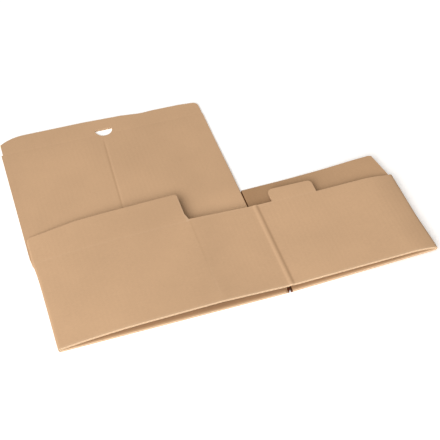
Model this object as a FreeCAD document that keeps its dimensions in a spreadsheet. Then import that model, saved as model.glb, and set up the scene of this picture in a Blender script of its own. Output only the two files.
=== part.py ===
import FreeCAD, Part
import math
import os

import Sketcher

# A folding carton lying flat, as it is delivered: one blank of corrugated
# board, folded at its left and right ends into a tube of two layers.
# X runs along the width of the flat tube, Y from its open bottom edge to the
# free edge of the lid, and Z up from the face that it lies on.
# The rear layer is the back panel with the lid, and a side panel.
# The front layer is the other side panel, and the front panel with its tab.

doc = FreeCAD.newDocument("flattened_box")
sheet = doc.addObject("Spreadsheet::Sheet", "Sizes")

# Sizes in millimetres.
SIZES = {
    # The box when it is set up.
    "panel_length": 311,
    "panel_width": 220,
    "wall_height": 145,
    "tuck_depth": 35,
    "dust_height": 47,
    # The board and its folds.
    "board": 3,
    "fold_inside": 0.7,
    "lid_overhang": 4,
    # How the layers lie: the side panel behind lifts to the right, and the
    # front layer arches over the rear one.
    "side_lift": 11,
    "dip_rise": 0.5,
    "shoulder_rise": 5,
    "crown_rise": 3.7,
    "haunch_drop": 2.8,
    "haunch_run": 118,
    "shoulder_run": 45,
    "pack_fold_shift": 5,
    "bead_width": 8,
    "bead_rise": 1.2,
    # Cuts that part the flaps.
    "slit": 1.6,
    "slot_width": 12,
    "slot_depth": 24,
    "layer_clearance": 0.3,
    "dust_inset": 0.5,
    "dust_step_top": 4,
    "dust_step_foot": 1,
    "dust_relief": 14,
    "dust_corner": 5,
    "dust_slant": 17,
    "slant_foot": 3,
    # The tab on the front panel.
    "tab_width": 66,
    "tab_height": 22,
    "tab_corner": 7,
    # The tuck flap of the lid.
    "tuck_inset": 2.3,
    "tuck_bevel_run": 38,
    "tuck_bevel_drop": 12,
    "tuck_corner": 9,
    "tuck_step": 4,
    "tuck_step_place": 220,
    "tuck_step_run": 18,
    # The thumb hole.
    "hole_width": 26.5,
    "hole_depth": 16.5,
    "hole_drop": 7.4,
    # Score lines pressed into the board.
    "score_width": 5,
    "score_depth": 0.6,
    "lid_fold_place": 140.5,
}
for row, (alias, number) in enumerate(SIZES.items(), start=1):
    cell = "B" + str(row)
    sheet.set("A" + str(row), alias)
    sheet.set(cell, str(number))
    sheet.setAlias(cell, alias)
doc.recompute()


def total(*terms):
    """A sum of sizes: its number, and the same sum as an expression.

    A term is a size's name, with a minus sign in front where it is taken
    away and "/2" behind where half of it counts.
    """
    number = 0
    expression = "0 mm"
    for term in terms:
        name = term.strip("-").removesuffix("/2")
        share = SIZES[name] / 2 if term.endswith("/2") else SIZES[name]
        sign = -1 if term.startswith("-") else 1
        number = number + sign * share
        expression += " - " if sign < 0 else " + "
        expression += "Sizes." + name + (" / 2" if term.endswith("/2") else "") + " * 1 mm"
    return number, expression


def negative(*terms):
    number, expression = total(*terms)
    return -number, "-(" + expression + ")"


body = doc.addObject("PartDesign::Body", "flattened_box")
body.Label = "flattened_box"


def plane(role):
    """The origin plane of the body that has this role."""
    for feature in body.Origin.OriginFeatures:
        if feature.Role == role:
            return feature
    raise ValueError("no origin plane " + role)


def new_sketch(name, role, height=None):
    """A sketch on an origin plane, raised along its normal by a sum of sizes."""
    sketch = body.newObject("Sketcher::SketchObject", name)
    sketch.AttachmentSupport = (plane(role), "")
    sketch.MapMode = "FlatFace"
    if height:
        sketch.setExpression("AttachmentOffset.Base.z", height[1])
    return sketch


def bind(sketch, kind, where, size):
    """Adds a driving dimension and ties it to its sum of sizes."""
    index = sketch.addConstraint(Sketcher.Constraint(kind, *where, size[0]))
    sketch.setExpression("Constraints[" + str(index) + "]", size[1])


def pin(sketch, piece, end, across, along):
    """Holds one end of a piece at its two distances from the origin."""
    for kind, size, axis in (("DistanceX", across, -2), ("DistanceY", along, -1)):
        if size[0] == 0:
            sketch.addConstraint(Sketcher.Constraint("PointOnObject", piece, end, axis))
        else:
            bind(sketch, kind, (-1, 1, piece, end), size)


def point(across, along):
    return FreeCAD.Vector(across[0], along[0], 0)


def tangent_arc(before, start, end):
    """The arc from start to end that carries on from the line before it."""
    along = (start - before).normalize()
    chord = end - start
    turn = along.getAngle(chord)
    side = FreeCAD.Vector(chord.y, -chord.x, 0).normalize()
    middle = (start + end) * 0.5 + side * (chord.Length / 2 * math.tan(turn / 2))
    return Part.Arc(start, middle, end)


def outline(sketch, corners, bend=None):
    """A closed outline through corners given as two sums, anticlockwise.

    Its pieces are straight, apart from the one that starts at corner number
    bend: an arc that carries on from the piece before it.
    """
    count = len(corners)
    places = [point(*corner) for corner in corners]
    for number, here in enumerate(places):
        ahead = places[(number + 1) % count]
        if number == bend:
            piece = tangent_arc(places[number - 1], here, ahead)
        else:
            piece = Part.LineSegment(here, ahead)
        sketch.addGeometry(piece, False)
    for number in range(count):
        following = (number + 1) % count
        kind = "Tangent" if following == bend else "Coincident"
        sketch.addConstraint(Sketcher.Constraint(kind, number, 2, following, 1))
        pin(sketch, number, 1, *corners[number])


def pad(name, sketch, length, forward=True):
    feature = body.newObject("PartDesign::Pad", name)
    feature.Profile = sketch
    feature.setExpression("Length", length[1])
    feature.Reversed = not forward
    doc.recompute()
    body.Tip = feature


def pocket(name, sketch, upward=False, depth=None):
    """Cuts from the sketch through all, or to a depth, and checks that it cut."""
    before = body.Shape.Volume
    feature = body.newObject("PartDesign::Pocket", name)
    feature.Profile = sketch
    if depth:
        feature.setExpression("Length", depth[1])
    else:
        feature.Type = "ThroughAll"
    feature.Reversed = upward
    doc.recompute()
    body.Tip = feature
    if not body.Shape.Volume < before:
        raise ValueError(name + " cut nothing")


# Places across the width, from the left edge of the lid.
LEFT_FOLD = ("lid_overhang",)
FOLD_RADIUS = ("board", "fold_inside")
LEFT_CENTRE = LEFT_FOLD + FOLD_RADIUS
HAUNCH = LEFT_FOLD + ("haunch_run",)
FRONT_CREASE = LEFT_FOLD + ("panel_width",)
REAR_CREASE = LEFT_FOLD + ("panel_length",)
PACK_FOLD = REAR_CREASE + ("pack_fold_shift",)
RIGHT_FOLD = REAR_CREASE + ("panel_width",)
RIGHT_CENTRE = RIGHT_FOLD + ("-board", "-fold_inside")
SHOULDER = RIGHT_FOLD + ("-shoulder_run",)
TAB_CENTRE = FRONT_CREASE + ("panel_length/2",)
HOLE_CENTRE = ("lid_overhang/2", "panel_length/2")

# Heights of the underside of the front layer.
REST_LEVEL = ("side_lift", "board")
DIP = REST_LEVEL + ("dip_rise",)
SHOULDER_TOP = REST_LEVEL + ("shoulder_rise",)
CROWN = DIP + ("crown_rise",)
HAUNCH_TOP = CROWN + ("-haunch_drop",)

# Places along Y, from the bottom edge.
WALL_TOP = ("wall_height",)
DUST_TOP = WALL_TOP + ("dust_height",)
TUCK_CREASE = WALL_TOP + ("panel_width",)
FREE_EDGE = TUCK_CREASE + ("tuck_depth",)
BEYOND = FREE_EDGE + ("tuck_depth",)
PAST_RIGHT = RIGHT_FOLD + ("tuck_depth",)
NOTHING = ()
FOLD_TOP = ("side_lift", "board", "fold_inside", "fold_inside")


def arc_through(start, end, bulge):
    """A shallow arc from start to end that rises to the left by bulge."""
    chord = end - start
    side = FreeCAD.Vector(-chord.y, chord.x, 0).normalize()
    middle = (start + end) * 0.5 + side * bulge
    return Part.Arc(start, middle, end)


def board_wire(sketch, low, high):
    """One closed line round the flat tube: its outer or its inner face.

    low lifts the faces of the rear layer, and high those of the front layer.
    """
    rear = [
        (total(*LEFT_CENTRE), total(*low)),
        (total(*REAR_CREASE), total(*low)),
        (total(*RIGHT_CENTRE), total("side_lift", *low)),
    ]
    front = [
        (total(*SHOULDER), total(*SHOULDER_TOP, *high)),
        (total(*PACK_FOLD, "bead_width/2"), total(*DIP, *high)),
        (total(*PACK_FOLD), total(*DIP, "bead_rise", *high)),
        (total(*PACK_FOLD, "-bead_width/2"), total(*DIP, *high)),
        (total(*FRONT_CREASE), total(*CROWN, *high)),
        (total(*HAUNCH), total(*HAUNCH_TOP, *high)),
    ]
    fold_radius = total("fold_inside", *high)
    radius = fold_radius[0]

    def line(here, ahead):
        return sketch.addGeometry(Part.LineSegment(point(*here), point(*ahead)), False)

    def add(kind, *where):
        sketch.addConstraint(Sketcher.Constraint(kind, *where))

    rear_line = line(rear[0], rear[1])
    side_line = line(rear[1], rear[2])

    # The right fold is a half circle, and a shallow arc leads on to the shoulder.
    fold_start = point(*rear[2])
    fold_end = fold_start + FreeCAD.Vector(0, 2 * radius, 0)
    right_fold = sketch.addGeometry(arc_through(fold_start, fold_end, -radius), False)
    shoulder_arc = sketch.addGeometry(
        arc_through(fold_end, point(*front[0]), -SIZES["fold_inside"]), False)

    front_lines = [line(here, ahead) for here, ahead in zip(front, front[1:])]

    # From the haunch a long arc comes down to the left fold and runs into it.
    haunch = point(*front[-1])
    crest = point(*front[-2])
    centre = point(*rear[0]) + FreeCAD.Vector(0, radius, 0)
    top_slope = (crest.y - haunch.y) / (crest.x - haunch.x)
    chord_slope = (haunch.y - centre.y - radius) / (haunch.x - centre.x)
    fold_slope = 2 * chord_slope - top_slope
    fold_top = centre + FreeCAD.Vector(-fold_slope, 1, 0).normalize() * radius
    bulge = (chord_slope - top_slope) * (haunch.x - centre.x) / 4
    rise_arc = sketch.addGeometry(arc_through(haunch, fold_top, -bulge), False)
    fold_side = centre + FreeCAD.Vector(-radius, 0, 0)
    left_fold = sketch.addGeometry(Part.Arc(fold_top, fold_side, point(*rear[0])), False)

    add("Coincident", rear_line, 2, side_line, 1)
    for here, ahead in zip(front_lines, front_lines[1:]):
        add("Coincident", here, 2, ahead, 1)
    pin(sketch, rear_line, 1, *rear[0])
    pin(sketch, side_line, 1, *rear[1])
    pin(sketch, side_line, 2, *rear[2])
    for piece, corner in zip(front_lines, front):
        pin(sketch, piece, 1, *corner)
    pin(sketch, front_lines[-1], 2, *front[-1])

    add("Coincident", side_line, 2, right_fold, 1)
    add("Coincident", right_fold, 2, shoulder_arc, 1)
    bind(sketch, "DistanceX", (-1, 1, right_fold, 3), total(*RIGHT_CENTRE))
    pin(sketch, right_fold, 2, total(*RIGHT_CENTRE), total(*FOLD_TOP, *high))
    add("Tangent", shoulder_arc, 2, front_lines[0], 1)
    add("Tangent", front_lines[-1], 2, rise_arc, 1)
    add("Tangent", rise_arc, 2, left_fold, 1)
    add("Tangent", left_fold, 2, rear_line, 1)
    bind(sketch, "Radius", (left_fold,), fold_radius)


def upright_edges(*places):
    """The names of the body's upright edges that stand at these places."""
    names = []
    for number, edge in enumerate(body.Shape.Edges, start=1):
        box = edge.BoundBox
        if max(box.XLength, box.YLength) > 0.01:
            continue
        for across, along in places:
            if abs(box.XMin - across[0]) < 0.05 and abs(box.YMin - along[0]) < 0.05:
                names.append("Edge" + str(number))
    if len(names) != len(places):
        raise ValueError("corners to round are missing")
    return names


def round_corners(name, radius, *places):
    before = body.Shape.Volume
    base = body.Tip
    edges = upright_edges(*places)
    feature = body.newObject("PartDesign::Fillet", name)
    feature.Base = (base, edges)
    feature.setExpression("Radius", radius[1])
    doc.recompute()
    body.Tip = feature
    if not body.Shape.Volume < before:
        raise ValueError(name + " rounded nothing")


# The tube: both layers, as long as the side panels with their dust flaps.
section = new_sketch("section", "XZ_Plane")
board_wire(section, NOTHING, ("board",))
board_wire(section, ("board",), NOTHING)
pad("tube", section, total(*DUST_TOP), forward=False)

# The front layer ends at the top of the front panel, apart from the side
# panel's dust flap at its left and the tab in the panel's middle.
STEP = FRONT_CREASE + ("-dust_step_top",)
STEP_FOOT = FRONT_CREASE + ("-dust_step_foot",)
TAB_LEFT = TAB_CENTRE + ("-tab_width/2",)
TAB_RIGHT = TAB_CENTRE + ("tab_width/2",)
TAB_TOP = WALL_TOP + ("tab_height",)
front_cut = new_sketch("front_outline", "XY_Plane", total(*REST_LEVEL, "layer_clearance"))
outline(front_cut, [
    (total(*STEP), total(*BEYOND)),
    (total(*STEP), total(*WALL_TOP, "dust_relief")),
    (total(*STEP_FOOT), total(*WALL_TOP)),
    (total(*TAB_LEFT), total(*WALL_TOP)),
    (total(*TAB_LEFT), total(*TAB_TOP)),
    (total(*TAB_RIGHT), total(*TAB_TOP)),
    (total(*TAB_RIGHT), total(*WALL_TOP)),
    (total(*PAST_RIGHT), total(*WALL_TOP)),
    (total(*PAST_RIGHT), total(*BEYOND)),
])
pocket("front_edge", front_cut, upward=True)

# Above the walls the folds at both ends are cut away, and the dust flap
# behind has a slanted side.
SLANT_FOOT = RIGHT_FOLD + ("-slant_foot",)
SLANT_TOP = RIGHT_FOLD + ("-dust_slant",)
LEFT_CUT = LEFT_CENTRE + ("dust_inset",)
slant = new_sketch("dust_flap_side", "XY_Plane")
outline(slant, [
    (total(*SLANT_FOOT), total(*WALL_TOP)),
    (total(*PAST_RIGHT), total(*WALL_TOP)),
    (total(*PAST_RIGHT), total(*BEYOND)),
    (total(*SLANT_TOP), total(*BEYOND)),
    (total(*SLANT_TOP), total(*DUST_TOP)),
])
pocket("slanted_side", slant, upward=True)

left_cut = new_sketch("left_end_cut", "XY_Plane")
outline(left_cut, [
    (total(*NOTHING), total(*WALL_TOP)),
    (total(*LEFT_CUT), total(*WALL_TOP)),
    (total(*LEFT_CUT), total(*BEYOND)),
    (total(*NOTHING), total(*BEYOND)),
])
pocket("left_end", left_cut, upward=True)

# A slit parts the lid from the dust flap beside it, and a slot opens the
# rear layer at the foot of the same crease.
slit = new_sketch("slit_outline", "XY_Plane")
outline(slit, [
    (total(*REAR_CREASE, "-slit/2"), total(*WALL_TOP)),
    (total(*REAR_CREASE, "slit/2"), total(*WALL_TOP)),
    (total(*REAR_CREASE, "slit/2"), total(*BEYOND)),
    (total(*REAR_CREASE, "-slit/2"), total(*BEYOND)),
])
pocket("lid_slit", slit, upward=True)

slot = new_sketch("slot_outline", "XY_Plane")
outline(slot, [
    (total(*REAR_CREASE, "-slot_width/2"), total(*NOTHING)),
    (total(*REAR_CREASE, "slot_width/2"), total(*NOTHING)),
    (total(*REAR_CREASE, "slot_width/2"), total("slot_depth")),
    (total(*REAR_CREASE, "-slot_width/2"), total("slot_depth")),
])
pocket("corner_slot", slot, upward=True, depth=total("board", "dip_rise"))

# The lid lies open behind the back panel, with its tuck flap at the far end.
LID_RIGHT = REAR_CREASE + ("-slit/2",)
lid_sheet = new_sketch("lid_outline", "XY_Plane")
TUCK_RIGHT = LID_RIGHT + ("-tuck_inset",)
TUCK_SIDE_TOP = FREE_EDGE + ("-tuck_bevel_drop",)
outline(lid_sheet, [
    (total(*NOTHING), total(*WALL_TOP)),
    (total(*LID_RIGHT), total(*WALL_TOP)),
    (total(*LID_RIGHT), total(*TUCK_CREASE)),
    (total(*TUCK_RIGHT), total(*TUCK_CREASE)),
    (total(*TUCK_RIGHT), total(*FREE_EDGE, "-tuck_step")),
    (total("tuck_step_place"), total(*FREE_EDGE, "-tuck_step")),
    (total("tuck_step_place", "-tuck_step_run"), total(*FREE_EDGE)),
    (total("tuck_inset", "tuck_bevel_run"), total(*FREE_EDGE)),
    (total("tuck_inset"), total(*TUCK_SIDE_TOP)),
    (total("tuck_inset"), total(*TUCK_CREASE)),
    (total(*NOTHING), total(*TUCK_CREASE)),
], bend=7)
pad("lid", lid_sheet, total("board"))

# The thumb hole: flat towards the free edge, round towards the lid.
HOLE_TOP = TUCK_CREASE + ("hole_depth", "-hole_drop")
hole = new_sketch("thumb_hole_outline", "XY_Plane")
hole_left = (total(*HOLE_CENTRE, "-hole_width/2"), total(*HOLE_TOP))
hole_right = (total(*HOLE_CENTRE, "hole_width/2"), total(*HOLE_TOP))
hole_low = (total(*HOLE_CENTRE), total(*TUCK_CREASE, "-hole_drop"))
bow = hole.addGeometry(Part.Arc(point(*hole_left), point(*hole_low), point(*hole_right)), False)
flat = hole.addGeometry(Part.LineSegment(point(*hole_right), point(*hole_left)), False)
lowest = hole.addGeometry(Part.Point(point(*hole_low)), True)
hole.addConstraint(Sketcher.Constraint("Coincident", bow, 2, flat, 1))
hole.addConstraint(Sketcher.Constraint("Coincident", flat, 2, bow, 1))
pin(hole, flat, 1, *hole_right)
pin(hole, flat, 2, *hole_left)
pin(hole, lowest, 1, *hole_low)
hole.addConstraint(Sketcher.Constraint("PointOnObject", lowest, 1, bow))
pocket("thumb_hole", hole, upward=True)


def score_line(name, role, offset, middle, length, forward):
    """A shallow groove with a V section, pressed into the top of the rear layer."""
    groove = new_sketch(name + "_section", role, offset)
    outline(groove, [
        (total(*middle, "-score_width/2"), total("board")),
        (total(*middle), total("board", "-score_depth")),
        (total(*middle, "score_width/2"), total("board")),
    ])
    pocket(name, groove, upward=forward, depth=length)


# The fold across the lid along Y, and the hinge of the tuck flap along X.
score_line("lid_score", "XZ_Plane", negative(*WALL_TOP), LEFT_FOLD + ("lid_fold_place",),
           total("panel_width", "-hole_drop", "-score_width"), forward=False)
score_line("tuck_score", "YZ_Plane", None, TUCK_CREASE, total(*REAR_CREASE), forward=True)

round_corners("dust_flap_corners", total("dust_corner"),
              (total(*STEP), total(*DUST_TOP)),
              (total(*LEFT_CUT), total(*DUST_TOP)))
round_corners("tab_corners", total("tab_corner"),
              (total(*TAB_LEFT), total(*TAB_TOP)),
              (total(*TAB_RIGHT), total(*TAB_TOP)))
round_corners("tuck_end", total("tuck_corner"),
              (total(*TUCK_RIGHT), total(*FREE_EDGE, "-tuck_step")))

# The part's own origin is the middle of its underside.
body.Placement = FreeCAD.Placement(
    FreeCAD.Vector(-total(*RIGHT_FOLD)[0] / 2, -total(*FREE_EDGE)[0] / 2, 0),
    FreeCAD.Rotation())
doc.recompute()

for item in doc.Objects:
    if "Invalid" in item.State or "Error" in item.State:
        raise ValueError(item.Name + " failed")
shape = body.Shape
if shape.isNull() or not shape.isValid() or len(shape.Solids) != 1:
    raise ValueError("the box is not one valid solid")

os.makedirs("parts", exist_ok=True)
shape.exportStep(os.path.join("parts", body.Label + ".step"))
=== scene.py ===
import bisect
import math

import bpy
from mathutils import Matrix, Vector, noise


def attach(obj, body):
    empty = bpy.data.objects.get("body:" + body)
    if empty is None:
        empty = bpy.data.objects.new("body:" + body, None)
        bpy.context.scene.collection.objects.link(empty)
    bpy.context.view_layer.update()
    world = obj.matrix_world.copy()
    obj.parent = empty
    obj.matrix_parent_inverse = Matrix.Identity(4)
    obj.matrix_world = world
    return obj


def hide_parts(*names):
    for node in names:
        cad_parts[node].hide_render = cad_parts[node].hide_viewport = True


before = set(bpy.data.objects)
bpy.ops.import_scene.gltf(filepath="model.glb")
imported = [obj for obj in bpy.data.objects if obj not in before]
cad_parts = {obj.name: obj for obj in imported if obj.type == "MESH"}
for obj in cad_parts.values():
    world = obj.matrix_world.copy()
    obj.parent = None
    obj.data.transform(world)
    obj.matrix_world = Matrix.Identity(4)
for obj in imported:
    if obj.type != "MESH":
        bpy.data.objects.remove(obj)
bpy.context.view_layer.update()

bl_info = {
    "name": "Flattened Carton",
    "version": (1, 0, 0),
    "blender": (4, 5, 0),
    "location": "View3D > Sidebar > Carton",
    "description": "Dresses a folding carton that lies flat as layered corrugated board",
    "category": "Object",
}

MM = 0.001
CARTON_NODE = "flattened_box"
BODY = "root"


def length_property(name, description, millimetres):
    """A size that is kept in metres and written here in millimetres."""
    return bpy.props.FloatProperty(
        name=name, description=description, default=millimetres * MM,
        min=0.0, subtype="DISTANCE", unit="LENGTH", precision=5)


def colour_property(name, description, red, green, blue):
    """A colour, in linear light."""
    return bpy.props.FloatVectorProperty(
        name=name, description=description, default=(red, green, blue),
        size=3, min=0.0, max=1.0, subtype="COLOR")


class CartonSizes(bpy.types.PropertyGroup):
    """Sizes of the blank: those of the solid, apart from what creep and wear have changed."""

    panel_length: length_property("Panel length", "Width of the front and back panels", 311)
    panel_width: length_property("Panel width", "Width of the side panels, and depth of the lid", 220)
    wall_height: length_property("Wall height", "From the bottom edge to the flaps' creases", 145)
    tuck_depth: length_property("Tuck depth", "Depth of the lid's tuck flap", 35)
    dust_height: length_property("Dust flap height", "Height of both dust flaps", 47)
    fold_inside: length_property("Fold inside", "Inner radius of the folds at both ends", 0.7)
    lid_overhang: length_property("Lid overhang", "How far the lid stands out past the left fold", 4)
    side_lift: length_property("Side lift", "Rise of the rear side panel at its right end", 11)
    dip_rise: length_property("Dip rise", "Gap below the front layer at the pack fold", 0.5)
    shoulder_rise: length_property("Shoulder rise", "Gap below the front layer's right shoulder", 5)
    crown_rise: length_property("Crown rise", "Rise of the front layer at the front crease", 3.7)
    haunch_drop: length_property("Haunch drop", "Fall of the front layer from crease to haunch", 2.8)
    haunch_run: length_property("Haunch run", "From the left fold to the haunch", 118)
    shoulder_run: length_property("Shoulder run", "From the right fold to the shoulder", 45)
    pack_fold_shift: length_property("Pack fold shift", "Pack fold's place right of the rear crease", 5)
    bead_width: length_property("Bead width", "Width of the ridge along the pack fold", 8)
    bead_rise: length_property("Bead rise", "Height of the ridge along the pack fold", 1.2)
    slit: length_property("Slit", "Gap between the lid and the dust flap beside it", 1.6)
    slot_width: length_property("Slot width", "Width of the slot at the foot of the rear crease", 12)
    slot_depth: length_property("Slot depth", "Depth of that slot", 24)
    slot_mouth: length_property("Slot mouth", "What the lie of the board leaves of its width", 4.5)
    slot_lean: length_property("Slot lean", "How far its left side leans over", 3.5)
    front_creep: length_property("Front creep", "How far the front layer has crept to the lid", 3)
    dust_reach: length_property("Dust reach", "From the left fold's centre out to the dust flap's end", 2)
    dust_step_top: length_property("Dust step top", "From the front crease to the dust flap's side", 4)
    dust_step_foot: length_property("Dust step foot", "The same at the foot of that side", 1)
    dust_relief: length_property("Dust relief", "Height of the slanted foot of that side", 14)
    dust_corner: length_property("Dust corner", "Corner radius of the front dust flap", 5)
    dust_slant: length_property("Dust slant", "Right inset of the rear dust flap at its top", 13.5)
    slant_foot: length_property("Slant foot", "Right inset of the rear dust flap at its foot", 3)
    tab_width: length_property("Tab width", "Width of the front panel's tab", 66)
    tab_height: length_property("Tab height", "Height of the front panel's tab", 22)
    tab_corner: length_property("Tab corner", "Corner radius of the tab", 7)
    tuck_inset: length_property("Tuck inset", "Step between the lid's sides and the tuck flap's", 2.3)
    tuck_bevel_run: length_property("Tuck bevel run", "Length of the tuck flap's rounded end", 38)
    tuck_bevel_drop: length_property("Tuck bevel drop", "Depth of the tuck flap's rounded end", 12)
    tuck_corner: length_property("Tuck corner", "Radius of the tuck flap's right corner", 9)
    lid_lean: length_property("Lid lean", "How far the lid's right edge leans in at the crease", 1.6)
    tuck_trim: length_property("Tuck trim", "What wear has taken off the free edge", 1)
    tuck_step: length_property("Tuck step", "Step in the tuck flap's free edge", 4)
    tuck_step_place: length_property("Tuck step place", "Where that step ends, from the left", 220)
    tuck_step_run: length_property("Tuck step run", "Length of that step", 18)
    hole_width: length_property("Hole width", "Width of the thumb hole", 26.5)
    hole_depth: length_property("Hole depth", "Depth of the thumb hole", 14.6)
    hole_drop: length_property("Hole drop", "How far the hole reaches past the tuck crease", 3.4)
    lid_fold_place: length_property("Lid fold place", "From the left fold to the lid's pack fold", 140.5)


class BoardSizes(bpy.types.PropertyGroup):
    """The board: two liners with a wave of fluting between them."""

    board: length_property("Board", "Thickness of the board", 3)
    liner: length_property("Liner", "Thickness of each liner", 0.34)
    fluting: length_property("Fluting", "Thickness of the waved paper", 0.26)
    swelling: length_property("Swelling", "How much the knife swells a liner at its cut", 0.5)
    pitch: length_property("Flute pitch", "From one crest of the wave to the next", 6.5)
    score_reach: length_property("Score reach", "Half the width of a score line", 2.6)
    score_depth: length_property("Score depth", "How deep a score line is pressed in", 0.55)


class BoardColours(bpy.types.PropertyGroup):
    """Colours of the papers."""

    face: colour_property("Liner", "Brown kraft of both faces", 0.558, 0.359, 0.212)
    cut: colour_property("Cut edge", "Fibres that a cut lays bare", 0.880, 0.640, 0.410)
    wave: colour_property("Fluting", "Paper of the wave between the liners", 0.760, 0.540, 0.350)


class StageSettings(bpy.types.PropertyGroup):
    """The camera, the lights and the floor."""

    target: bpy.props.FloatVectorProperty(
        name="Target", description="Point on the floor that the camera looks at",
        default=(0.00240, -0.04965, 0.0), subtype="TRANSLATION", unit="LENGTH")
    distance: length_property("Distance", "From the camera to its target", 1464.3)
    azimuth: bpy.props.FloatProperty(
        name="Azimuth", description="Turn of the camera round the carton",
        default=math.radians(-19.61), subtype="ANGLE", unit="ROTATION")
    elevation: bpy.props.FloatProperty(
        name="Elevation", description="Height of the camera above the horizon",
        default=math.radians(48.79), subtype="ANGLE", unit="ROTATION")
    roll: bpy.props.FloatProperty(
        name="Roll", description="Tilt of the camera round its own line of sight",
        default=math.radians(1.54), subtype="ANGLE", unit="ROTATION")
    lens: bpy.props.FloatProperty(
        name="Lens", description="Focal length on a 36 mm sensor, in millimetres",
        default=84.78, min=1.0)
    floor: colour_property("Floor", "Plain white floor", 0.92, 0.92, 0.92)
    floor_glow: bpy.props.FloatProperty(
        name="Floor glow", description="Light that the floor gives off, to keep it white",
        default=0.22, min=0.0)
    even_light: bpy.props.FloatProperty(
        name="Even light", description="Strength of the wide lamp that lights all alike",
        default=2.5, min=0.0)
    near_light: bpy.props.FloatProperty(
        name="Near light", description="Power of the lamp by the front left corner",
        default=15.0, min=0.0, unit="POWER")
    room_light: bpy.props.FloatProperty(
        name="Room light", description="Strength of the light from all round",
        default=0.26, min=0.0)


def in_millimetres(group):
    """The lengths of a property group as plain numbers in millimetres."""
    return {name: getattr(group, name) / MM for name in group.__annotations__}


def smooth(share):
    """From 0 to 1 with level ends."""
    share = min(1.0, max(0.0, share))
    return share * share * (3 - 2 * share)


def hump(offset, reach):
    """1 in the middle and 0 from the reach on."""
    return 1 - smooth(abs(offset) / reach)


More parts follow.
